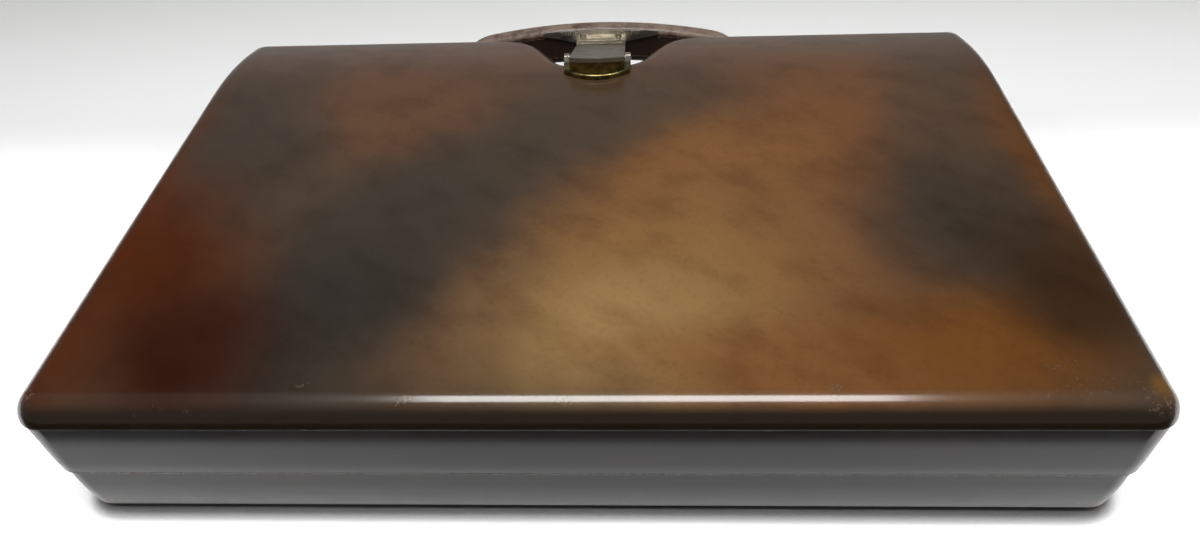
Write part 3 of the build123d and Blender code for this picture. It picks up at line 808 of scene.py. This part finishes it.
@dataclass(frozen=True)
class DrawnIn:
    """How the outside of a wall curves inwards from one height towards another."""

    start: float
    end: float
    depth: float
    cuts: int
    tilt: float = 1.0
    corner: Span = (198.0, 128.0)
    steepest: float = 0.35

    def inset(self, height: float) -> float:
        """Returns how far the wall stands in at a height, both in metres."""
        share = (self.start * MM - height) / ((self.start - self.end) * MM)
        return self.depth * MM * min(max(share, 0.0), 1.0) ** 2

    def shape(self, piece: Piece) -> None:
        """Cuts the wall into levels and moves its outside in.

        Args:
            piece: the wall, in object mode.
        """
        with editing(piece):
            for step in range(self.cuts):
                level = self.start + (self.end - self.start) * step / self.cuts
                bpy.ops.mesh.select_all(action="SELECT")
                bpy.ops.mesh.bisect(plane_co=(0, 0, level * MM), plane_no=(0, 0, 1))
                bpy.ops.mesh.select_all(action="DESELECT")
        for vertex in piece.data.vertices:
            normal = vertex.normal.copy()
            normal.z = 0.0
            if faces_out(normal, vertex.co):
                vertex.co -= normal * self.inset(vertex.co.z)

    def true_normal(self, spot: Vector) -> Vector:
        """Returns the normal of the wall's curve at a place on its outside.

        Args:
            spot: the place, in metres.

        Returns:
            The normal.
        """
        step = 0.1 * MM
        aside = [
            math.copysign(max(abs(spot[side]) - self.corner[side] * MM, 0.0), spot[side])
            for side in (0, 1)
        ]
        away = Vector((*aside, 0.0)).normalized()
        rise = self.inset(spot.z + step) - self.inset(spot.z - step)
        away.z = self.tilt * rise / (2 * step)
        return away.normalized()

    def even_normals(self, piece: Piece) -> None:
        """Gives the outside of the wall the normals of its true curve.

        Args:
            piece: the wall, already shaded smooth.
        """
        mesh = piece.data
        wanted = [Vector() for _ in mesh.loops]
        for face in mesh.polygons:
            if faces_out(face.normal, face.center) and abs(face.normal.z) <= self.steepest:
                for turn in face.loop_indices:
                    spot = mesh.vertices[mesh.loops[turn].vertex_index].co
                    wanted[turn] = self.true_normal(spot)
        mesh.normals_split_custom_set(wanted)


@dataclass
class Dressed:
    """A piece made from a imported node: merged, its edges softened, and dressed."""

    node: str
    body: Body
    bevel: float
    segments: int = 2
    smooth: float = 32.0
    drawn_in: DrawnIn | None = None
    finish: str = ""
    bends: tuple[Point, Point] | None = None

    def shade(self, piece: Piece) -> None:
        """Shades the piece smooth, with even normals on its flats or its curve.

        Args:
            piece: the piece.
        """
        bpy.ops.object.shade_smooth_by_angle(angle=math.radians(self.smooth))
        if self.drawn_in:
            self.drawn_in.even_normals(piece)
        else:
            work(piece, "even shading", "WEIGHTED_NORMAL", keep_sharp=True)

    def build(self, materials: dict[str, Material]) -> Piece:
        """Builds the piece, which then stands for the node.

        Args:
            materials: every finish by name.

        Returns:
            The piece.
        """
        slot = SLOTS[self.node]
        piece = merged_copy(self.node, f"{self.node}_piece")
        coat(piece.data, materials[self.finish or slot])
        if self.drawn_in:
            self.drawn_in.shape(piece)
        if self.bevel > 0:
            soften(piece, self.bevel, self.segments, from_angle=30)
        self.shade(piece)
        if self.bends:
            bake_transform(piece)
        else:
            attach(piece, self.body.value)
        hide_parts(self.node)
        return piece


@dataclass
class Detail:
    """A piece laid over the skins: its body, its finish and its slot, which is not used."""

    body: Body
    finish: str
    slot: str

    def model(self) -> Piece:
        """Models the piece."""
        raise NotImplementedError

    def hold(self, piece: Piece) -> None:
        """Fixes the piece to its body."""
        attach(piece, self.body.value)

    def build(self, materials: dict[str, Material]) -> Piece:
        """Models the piece, dresses it and fixes it.

        Args:
            materials: every finish by name.

        Returns:
            The piece.
        """
        piece = self.model()
        coat(piece.data, materials[self.finish])
        self.hold(piece)
        return piece


@dataclass
class StitchRow(Detail):
    """Sewn stitches along lines on a flat face."""

    name: str
    lines: tuple[tuple[Vector, ...], ...]
    pitch: float = 3.6
    length: float = 2.5
    radius: float = 0.28

    def one(self) -> bpy.types.Mesh:
        """Models one stitch along X at the origin.

        Returns:
            Its mesh.
        """
        bpy.ops.object.select_all(action="DESELECT")
        bpy.ops.mesh.primitive_cylinder_add(
            vertices=8, radius=self.radius * MM, depth=self.length * MM,
            rotation=(0, math.pi / 2, 0),
        )
        stitch = bpy.context.object
        bpy.ops.object.transform_apply(location=True, rotation=True, scale=True)
        soften(stitch, 0.8 * self.radius, 2, from_angle=60)
        mesh = stitch.data.copy()
        bpy.data.objects.remove(stitch)
        return mesh

    def places(self) -> list[tuple[Vector, Vector]]:
        """Walks along the lines.

        Returns:
            The middle of every stitch in metres, and its direction.
        """
        found = []
        for line in self.lines:
            walked = 0.5 * self.pitch
            for start, end in zip(line, line[1:]):
                run = end - start
                while walked < run.length:
                    found.append(((start + run.normalized() * walked) * MM, run.normalized()))
                    walked += self.pitch
                walked -= run.length
        return found

    def model(self) -> Piece:
        """Models the row.

        Returns:
            All stitches as one piece.
        """
        pattern = self.one()
        copies = []
        for place, along in self.places():
            mesh = pattern.copy()
            turn = Vector((1, 0, 0)).rotation_difference(along).to_matrix().to_4x4()
            mesh.transform(Matrix.Translation(place) @ turn)
            copies.append(put(self.name, mesh))
        only(*copies)
        bpy.ops.object.join()
        row = bpy.context.object
        row.name = self.name
        bpy.ops.object.shade_smooth_by_angle(angle=math.radians(40))
        return row


@dataclass
class FaceEdgeBead(Detail):
    """Rolled top edge of the lid's wall leather, a fine line under the face, pale partly as a raw
    edge and partly as painted glints.
    """

    body: Body = Body.LID
    finish: str = "worn_edge_glints"
    slot: str = "wall_leather"
    node: str = "lid_wall_leather"
    radius: float = 0.20
    outwards: float = 0.30
    drop: float = 0.25
    lowest: float = 40.0

    def top_edge(self, mesh: bpy.types.Mesh) -> dict[int, list[Vector]]:
        """Selects the outer top edge of the wall leather.

        Args:
            mesh: the wall leather, with nothing selected.

        Returns:
            The outward normals at each corner of the edge.
        """
        faces_of = {}
        for face in mesh.polygons:
            for key in face.edge_keys:
                faces_of.setdefault(key, []).append(face)
        normals = {}
        for edge in mesh.edges:
            sides = sorted(faces_of.get(edge.key, []), key=lambda face: face.normal.z)
            if len(sides) != 2:
                continue
            wall, top = sides
            upright = abs(wall.normal.z) < 0.1 and faces_out(wall.normal, wall.center)
            if top.normal.z > 0.8 and upright:
                edge.select = True
                for corner in edge.vertices:
                    normals.setdefault(corner, []).append(wall.normal.copy())
        return normals

    def wire(self) -> Piece:
        """Copies the edge as a wire, a little outside the wall and below its top.

        Returns:
            The wire.
        """
        wire = merged_copy(self.node, "wall_edge_bead")
        mesh = wire.data
        for corner, normals in self.top_edge(mesh).items():
            way = sum(normals, Vector()).normalized()
            mesh.vertices[corner].co += way * self.outwards * MM - Vector((0, 0, self.drop * MM))
        with editing(wire):
            bpy.ops.mesh.select_all(action="INVERT")
            bpy.ops.mesh.delete(type="EDGE_FACE")
            bpy.ops.mesh.select_all(action="DESELECT")
        for vertex in mesh.vertices:
            vertex.select = vertex.co.z < self.lowest * MM
        with editing(wire):
            bpy.ops.mesh.delete(type="VERT")
            bpy.ops.mesh.select_all(action="SELECT")
            bpy.ops.mesh.delete_loose(use_verts=True, use_edges=False, use_faces=False)
        return wire

    def model(self) -> Piece:
        """Models the bead.

        Returns:
            The bead.
        """
        only(self.wire())
        bpy.ops.object.convert(target="CURVE")
        curve = bpy.context.object.data
        curve.bevel_depth = self.radius * MM
        curve.bevel_resolution = 2
        curve.use_fill_caps = True
        bpy.ops.object.convert(target="MESH")
        bpy.ops.object.shade_smooth_by_angle(angle=math.radians(60))
        return bpy.context.object


@dataclass
class SpineFold(Detail):
    """Strip of the hinge leather that shows in the crease along the near side, near-black as
    painted shade in the crease.
    """

    body: Body = Body.BASE
    finish: str = "fold_leather_shade"
    slot: str = "hinge_leather"
    half_length: float = 192.0
    section: tuple[Span, ...] = (
        (-138.72, 32.6), (-138.50, 31.6), (-138.30, 30.8), (-138.05, 30.3),
        (-137.95, 29.95), (-138.05, 29.6), (-138.16, 29.1), (-138.10, 28.3),
    )
    thickness: float = 0.45
    pieces: int = 48
    bend_start: Point = (0.0, -138.1, 29.2)
    bend_end: Point = (0.0, -138.4, 31.0)

    def sheet(self) -> Piece:
        """Draws the section along the crease.

        Returns:
            The strip without its thickness, facing the near side.
        """
        mesh = bpy.data.meshes.new("spine_fold")
        points = [in_metres((-self.half_length, y, z)) for y, z in self.section]
        mesh.from_pydata(points, [(i, i + 1) for i in range(len(points) - 1)], [])
        strip = put("spine_fold", mesh)
        step = 2 * self.half_length * MM / self.pieces
        with editing(strip):
            bpy.ops.mesh.select_all(action="SELECT")
            for _ in range(self.pieces):
                bpy.ops.mesh.extrude_region_move(TRANSFORM_OT_translate={"value": (step, 0, 0)})
            bpy.ops.mesh.select_all(action="SELECT")
            bpy.ops.mesh.normals_make_consistent(inside=False)
        if mesh.polygons[0].normal.y > 0:
            mesh.flip_normals()
        return strip

    def model(self) -> Piece:
        """Models the strip.

        Returns:
            The strip.
        """
        strip = self.sheet()
        work(strip, "thickness", "SOLIDIFY", thickness=self.thickness * MM, offset=-1.0)
        work(strip, "rounding", "SUBSURF", levels=1, render_levels=1)
        bpy.ops.object.shade_smooth_by_angle(angle=math.radians(60))
        return strip

    def hold(self, piece: Piece) -> None:
        """Bakes the strip's place into its mesh."""
        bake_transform(piece)


@dataclass
class SubAssembly:
    """Pieces of the case that belong together, with the rounding of their plain edges."""

    soft_edge: float = 0.2

    def skins(self) -> tuple[Dressed, ...]:
        """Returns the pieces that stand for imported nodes."""
        raise NotImplementedError

    def details(self) -> tuple[Detail, ...]:
        """Returns the pieces laid over the skins."""
        return ()


@dataclass
class LidShell(SubAssembly):
    """Leathers and linings of the lid."""

    curve: DrawnIn = DrawnIn(start=38.0, end=31.15, depth=0.4, cuts=6)
    face_edge: float = 0.35
    rim_edge: float = 0.4
    round_shading: float = 50.0

    def skins(self) -> tuple[Dressed, ...]:
        """Returns the leathers and linings."""
        curved = {"smooth": self.round_shading, "drawn_in": self.curve}
        return (
            Dressed("lid_face_leather", Body.LID, self.face_edge, 3),
            Dressed("lid_wall_leather", Body.LID, self.soft_edge, **curved),
            Dressed("lid_rim_leather", Body.LID, self.rim_edge, 3, **curved),
            Dressed("lid_roof_lining", Body.LID, self.soft_edge),
            Dressed("lid_wall_lining", Body.LID, self.soft_edge),
        )

    def details(self) -> tuple[Detail, ...]:
        """Returns the rolled edge of the wall leather."""
        return (FaceEdgeBead(),)


@dataclass
class BaseShell(SubAssembly):
    """Leathers and linings of the base."""

    curve: DrawnIn = DrawnIn(start=22.0, end=4.0, depth=1.4, cuts=8, tilt=1.6)
    wall_edge: float = 0.3
    bottom_edge: float = 0.4

    def skins(self) -> tuple[Dressed, ...]:
        """Returns the leathers and linings."""
        return (
            Dressed("base_wall_leather", Body.BASE, self.wall_edge, drawn_in=self.curve),
            Dressed("base_rim_leather", Body.BASE, self.soft_edge),
            Dressed("base_bottom_leather", Body.BASE, self.bottom_edge, 3),
            Dressed("base_floor_lining", Body.BASE, self.soft_edge),
            Dressed("base_wall_lining", Body.BASE, self.soft_edge),
        )


@dataclass
class LeatherHinge(SubAssembly):
    """The two leather strips of the hinge and the fold between them."""

    def skins(self) -> tuple[Dressed, ...]:
        """Returns the two strips."""
        return (
            Dressed("hinge_leather_base", Body.BASE, self.soft_edge),
            Dressed("hinge_leather_lid", Body.LID, self.soft_edge),
        )

    def details(self) -> tuple[Detail, ...]:
        """Returns the fold."""
        return (SpineFold(),)


def arc(centre: Span, radius: float, first: float, last: float, steps: int) -> list[Span]:
    """Returns points of an arc in a plane.

    Args:
        centre: its centre.
        radius: its radius.
        first: first angle in degrees.
        last: last angle in degrees.
        steps: number of runs.

    Returns:
        The points as pairs.
    """
    points = []
    for step in range(steps + 1):
        angle = math.radians(first + (last - first) * step / steps)
        points.append((centre[0] + radius * math.cos(angle), centre[1] + radius * math.sin(angle)))
    return points


@dataclass
class Handle(SubAssembly):
    """The handle's leathers and fittings, and the stitches along the leathers' edges."""

    bow_centre: float = HandleLeather.bow_centre
    bow_radius: float = HandleLeather.bow_radius
    crown: float = 22.0
    shoulder_x: float = 61.0
    shoulder_z: float = 31.775
    shoulder_radius: float = 26.0
    armpit_x: float = 60.0
    armpit_z: float = 26.876
    armpit_radius: float = 9.0
    armpit_angle: float = 12.0
    leg_foot: float = 29.5
    margin: float = 4.3
    front: float = 140.8
    back: float = 150.8

    def skins(self) -> tuple[Dressed, ...]:
        """Returns the leathers and the fittings."""
        return (
            Dressed("handle_leather_front", Body.BASE, self.soft_edge),
            Dressed("handle_leather_back", Body.BASE, self.soft_edge),
            Dressed("handle_foot_plates", Body.BASE, 0.3, 3),
            Dressed("handle_backing_plates", Body.BASE, 0.15),
            Dressed("handle_rivets", Body.BASE, 0.0),
            Dressed("strike_plate", Body.BASE, self.soft_edge, finish="milled_nickel"),
            Dressed("strike_rivets", Body.BASE, 0.0),
        )

    def bowed(self, end: Span, radius: float, first: float, bow: float, steps: int) -> list[Span]:
        """Draws a row from its right end over the bow, and mirrors it.

        Args:
            end: centre of the right end's arc.
            radius: radius of that arc.
            first: angle in degrees at which it starts.
            bow: radius of the row over the bow.
            steps: runs of half the bow.

        Returns:
            The row as pairs (x, z), from right to left.
        """
        lean = math.degrees(math.atan2(end[1] - self.bow_centre, end[0]))
        half = arc(end, radius, first, lean, (steps + 1) // 2)
        half += arc((0, self.bow_centre), bow, lean, 90, steps)[1:]
        return half + [(-x, z) for x, z in reversed(half[:-1])]

    def outer(self) -> list[Span]:
        """Draws the outer row, down to the feet.

        Returns:
            The row as pairs (x, z), from right to left.
        """
        radius = self.shoulder_radius - self.margin
        shoulder = (self.shoulder_x, self.shoulder_z)
        low = self.shoulder_x + radius
        row = self.bowed(shoulder, radius, 0, self.bow_radius - self.margin, 15)
        return [(low, self.leg_foot)] + row + [(-low, self.leg_foot)]

    def inner(self) -> list[Span]:
        """Draws the inner row.

        Returns:
            The row as pairs (x, z), from right to left.
        """
        radius = self.armpit_radius + self.margin
        armpit = (self.armpit_x, self.armpit_z)
        bow = self.bow_radius - self.crown + self.margin
        return self.bowed(armpit, radius, self.armpit_angle, bow, 12)

    def seam(self, name: str, depth: float) -> StitchRow:
        """Sews both rows on the leather whose outside lies at a depth along Y.

        Args:
            name: name of the seam.
            depth: where the leather's outside lies.

        Returns:
            The seam.
        """
        rows = (self.outer(), self.inner())
        lines = tuple(tuple(Vector((x, depth, z)) for x, z in row) for row in rows)
        return StitchRow(Body.BASE, "thread", "handle_leather", name, lines)

    def details(self) -> tuple[Detail, ...]:
        """Returns the seams on the front and the back."""
        sides = {"handle_seam_front": self.front, "handle_seam_back": self.back}
        return tuple(self.seam(name, depth) for name, depth in sides.items())


@dataclass
class Latch(SubAssembly):
    """Body and tongue of the latch, and its leaf spring."""

    spring_root: Point = (0, 92.5, 69.6)
    spring_end: Point = (0, 105, 66.1)

    def skins(self) -> tuple[Dressed, ...]:
        """Returns the body, the tongue and the spring."""
        return (
            Dressed("latch_body", Body.LID, 0.18),
            Dressed("latch_tongue", Body.LATCH, 0.25, 3),
            Dressed("latch_spring", Body.LID, 0.0, bends=(self.spring_root, self.spring_end)),
        )


@dataclass
class Pocket(SubAssembly):
    """Document pocket of the lid."""

    gusset_edge: float = 0.3

    def skins(self) -> tuple[Dressed, ...]:
        """Returns the panel, its binding and the gusset."""
        return (
            Dressed("pocket_panel", Body.LID, self.soft_edge),
            Dressed("pocket_binding", Body.LID, self.soft_edge),
            Dressed("pocket_gusset", Body.LID, self.gusset_edge),
        )


@dataclass
class Floor:
    """Plain pale floor, with a painted contact shadow close to the case and painted shade behind
    it, where it turns grey.
    """

    size: float = 8.0
    drop: float = 0.0002
    tones: tuple[Colour, Colour] = ((0.88, 0.88, 0.88), (0.90, 0.90, 0.90))
    far_shade_tone: Colour = (0.68, 0.69, 0.67)
    contact_shadow_tone: Colour = (0.20, 0.20, 0.20)
    contact: float = 0.010
    lift: float = 0.40

    def finish(self) -> Material:
        """Builds the material, lifted where it is seen and shaded near the case.

        Returns:
            The material.
        """
        s = NodeSheet("pale_floor")
        path = s.add("LightPath", {}).outputs
        seen = s.math("MAXIMUM", path["Is Camera Ray"], path["Is Glossy Ray"])
        seen = s.math("MAXIMUM", seen, path["Is Transmission Ray"])
        # Painted contact shadow: ambient occlusion near the case darkens the colour and the lift,
        # but not in reflections.
        near = s.add("AmbientOcclusion", {"Distance": self.contact}, samples=8)
        clear = s.ramp(near.outputs["AO"], 0.62, 0.92)
        clear = s.math("MAXIMUM", clear, path["Is Glossy Ray"])
        colour = s.mix(s.ramp(s.noise(s.place, 6.0, 2.0, 0.5), 0.2, 0.8), *self.tones)
        # Painted shade behind the case: the colour turns grey towards the back.
        colour = s.mix(s.along("Y", 140, 400), colour, self.far_shade_tone)
        colour = s.mix(clear, self.contact_shadow_tone, colour)
        # Painted shade behind the case: the lift fades out between 60 and 150 mm along Y.
        before = s.math("SUBTRACT", 1.0, s.along("Y", 60, 150))
        return s.surface(
            Base_Color=colour,
            Roughness=0.6,
            Emission_Color=(1.0, 1.0, 1.0),
            Emission_Strength=s.times(s.times(s.times(seen, self.lift), clear), before),
        )

    def build(self) -> None:
        """Lays the floor."""
        bpy.ops.object.select_all(action="DESELECT")
        bpy.ops.mesh.primitive_plane_add(size=self.size, location=(0, 0, -self.drop))
        plane = bpy.context.object
        plane.name = "floor"
        plane.data.materials.append(self.finish())


@dataclass(frozen=True)
class Lamp:
    """A soft lamp with its place, what it points at, and its width and depth."""

    name: str
    place: Point
    aim: Point
    size: Span
    watts: float
    mirrored: bool = True

    def build(self) -> None:
        """Hangs the lamp."""
        data = bpy.data.lights.new(self.name, "AREA")
        data.shape = "RECTANGLE"
        data.size, data.size_y = self.size
        data.energy = self.watts
        lamp = put(self.name, data)
        lamp.location = self.place
        way = Vector(self.aim) - Vector(self.place)
        lamp.rotation_euler = way.to_track_quat("-Z", "Y").to_euler()
        lamp.visible_glossy = self.mirrored


@dataclass(frozen=True)
class Card:
    """A card that only reflections see, which fades upwards and to both sides."""

    name: str
    place: Point
    size: Span
    tilt: float
    low: float
    high: float
    fade: float = 2.6
    shift: float = 0.05
    side_start: float = 0.26
    side_end: float = 0.62
    side_loss: float = 0.75

    def finish(self) -> Material:
        """Builds the glow.

        Returns:
            The material.
        """
        s = NodeSheet(self.name)
        fall = s.ramp(s.axis("Z"), self.place[2] + self.size[1] / 2, 0.0)
        fall.node.interpolation_type = "LINEAR"
        bright = s.math("POWER", fall, self.fade)
        glow = s.math("MULTIPLY_ADD", bright, self.low - self.high, self.high)
        aside = s.math("ABSOLUTE", s.math("ADD", s.axis("X"), self.shift))
        outer = s.ramp(aside, self.side_start, self.side_end)
        sides = s.math("MULTIPLY_ADD", outer, -self.side_loss, 1.0)
        return s.surface(
            Base_Color=(0.0, 0.0, 0.0), Roughness=1.0, Specular_IOR_Level=0.0,
            Emission_Color=(1.0, 1.0, 1.0),
            Emission_Strength=s.times(glow, sides),
        )

    def build(self) -> None:
        """Sets the card up."""
        bpy.ops.object.select_all(action="DESELECT")
        bpy.ops.mesh.primitive_plane_add(size=1.0, location=(0, 0, 0))
        card = bpy.context.object
        card.name = self.name
        turn = Matrix.Rotation(math.radians(self.tilt), 4, "X")
        shape = Matrix.Diagonal((*self.size, 1.0, 1.0))
        card.data.transform(Matrix.Translation(self.place) @ turn @ shape)
        card.data.materials.append(self.finish())
        card.visible_camera = False
        card.visible_diffuse = False
        card.visible_shadow = False


@dataclass
class Viewpoint:
    """Where the photograph was taken from, with its angles in radians."""

    place: Point = (0.021362, -0.313511, 0.308715)
    pitch: float = 0.7752992
    yaw: float = 0.0644808
    roll: float = -0.0536564
    focal_pixels: float = 843.812
    photo_pixels: float = 1200.0
    sensor: float = 36.0

    def build(self) -> None:
        """Stands the camera there."""
        turn = Matrix.Rotation(self.yaw, 3, "Z")
        right = turn @ Vector((1, 0, 0))
        ahead = turn @ Vector((0, math.cos(self.pitch), -math.sin(self.pitch)))
        above = turn @ Vector((0, math.sin(self.pitch), math.cos(self.pitch)))
        side = math.cos(self.roll) * right + math.sin(self.roll) * above
        top = -math.sin(self.roll) * right + math.cos(self.roll) * above
        data = bpy.data.cameras.new("camera")
        data.sensor_width = self.sensor
        data.lens = self.focal_pixels / self.photo_pixels * self.sensor
        data.clip_start = 0.01
        camera = put("camera", data)
        facing = Matrix((side, top, -ahead)).transposed().to_4x4()
        camera.matrix_world = Matrix.Translation(self.place) @ facing
        bpy.context.scene.camera = camera


@dataclass
class Studio:
    """Floor, world, lamps, reflection cards and camera."""

    world_strength: float = 0.14
    lamps: tuple[Lamp, ...] = (
        Lamp("overhead", (0.05, -0.22, 1.25), (0.05, -0.22, 0), (0.85, 0.46), 15.5),
        Lamp("room_left", (-1.9, 0.05, 1.2), (0, 0, 0), (1.1, 1.1), 9.0, mirrored=False),
        Lamp("room_right", (1.9, 0.05, 1.2), (0, 0, 0), (1.1, 1.1), 9.0, mirrored=False),
    )
    cards: tuple[Card, ...] = (
        Card("dark_card", (0.0, -0.9245, 0.0006), (4.0, 1.5), tilt=0.0, low=0.0, high=0.0),
        Card("back_card", (0.0, 0.42, 0.70), (3.2, 1.4), tilt=90.0, low=0.32, high=0.05),
    )

    def world(self) -> None:
        """Sets the white world."""
        world = bpy.data.worlds.new("studio")
        world.use_nodes = True
        sky = world.node_tree.nodes["Background"].inputs
        sky["Color"].default_value = (1.0, 1.0, 1.0, 1.0)
        sky["Strength"].default_value = self.world_strength
        bpy.context.scene.world = world

    def build(self) -> None:
        """Builds the whole studio."""
        bpy.context.scene.view_settings.view_transform = "Standard"
        self.world()
        for thing in (Floor(), *self.lamps, *self.cards, Viewpoint()):
            thing.build()


def main() -> None:
    """Builds every piece in order."""
    logging.basicConfig(level=logging.INFO, format="%(message)s")
    materials = dress_nodes()
    assemblies = (LidShell(), BaseShell(), LeatherHinge(), Handle(), Latch(), Pocket())
    parts = [part for assembly in assemblies for part in assembly.skins()]
    parts += [part for assembly in assemblies for part in assembly.details()]
    for part in parts:
        piece = part.build(materials)
        log.info("%s: %d faces", piece.name, len(piece.data.polygons))
    Studio().build()
    log.info("sizes written")


if __name__ == "__main__":
    main()
